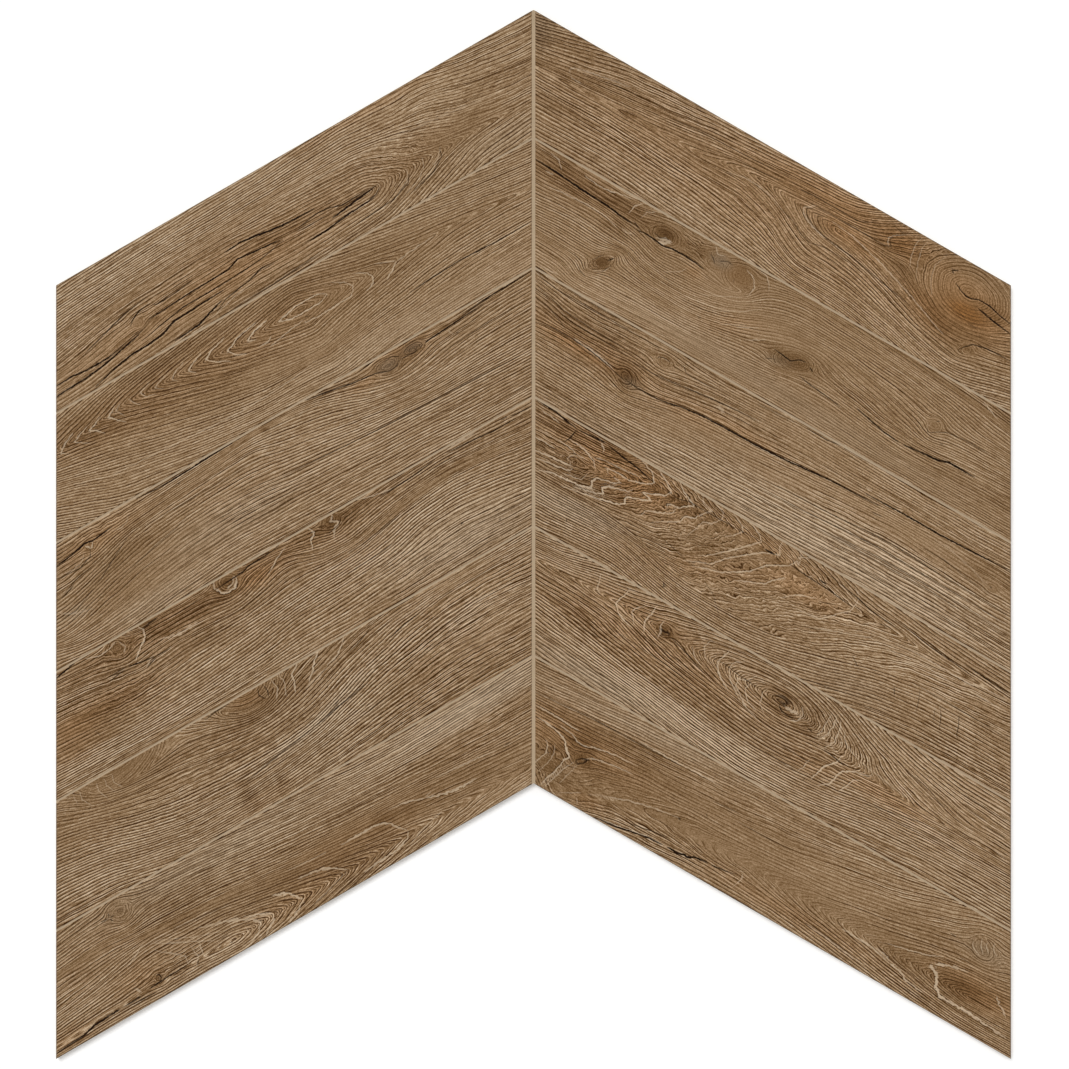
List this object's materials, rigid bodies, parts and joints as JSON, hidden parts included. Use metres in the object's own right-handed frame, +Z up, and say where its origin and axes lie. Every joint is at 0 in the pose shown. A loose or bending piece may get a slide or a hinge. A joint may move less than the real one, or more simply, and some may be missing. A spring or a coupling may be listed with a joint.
{
  "type": "porcelain tile chevron panel",
  "caption": "Flat V-shaped panel of mitred wood-look porcelain planks laid in a chevron pattern, with grouted joints and keyed backs.",
  "frame": {"origin": "on the bedding plane under the middle of the panel's box, in the centre joint", "axes": "+X across the panel, square to the centre joint; +Y along the centre joint to the tip of the V; +Z up out of the planks' faces"},
  "size_m": [0.8694, 0.9554, 0.0095],
  "materials": {
    "porcelain": "matte",
    "grout": "matte"
  },
  "bodies": {
    "root": {"left_plank_1": "porcelain", "left_plank_2": "porcelain", "left_plank_3": "porcelain", "left_plank_4": "porcelain", "left_plank_5": "porcelain", "left_plank_6": "porcelain", "right_plank_1": "porcelain", "right_plank_2": "porcelain", "right_plank_3": "porcelain", "right_plank_4": "porcelain", "right_plank_5": "porcelain", "right_plank_6": "porcelain", "grout": "grout"}
  },
  "joints": []
}
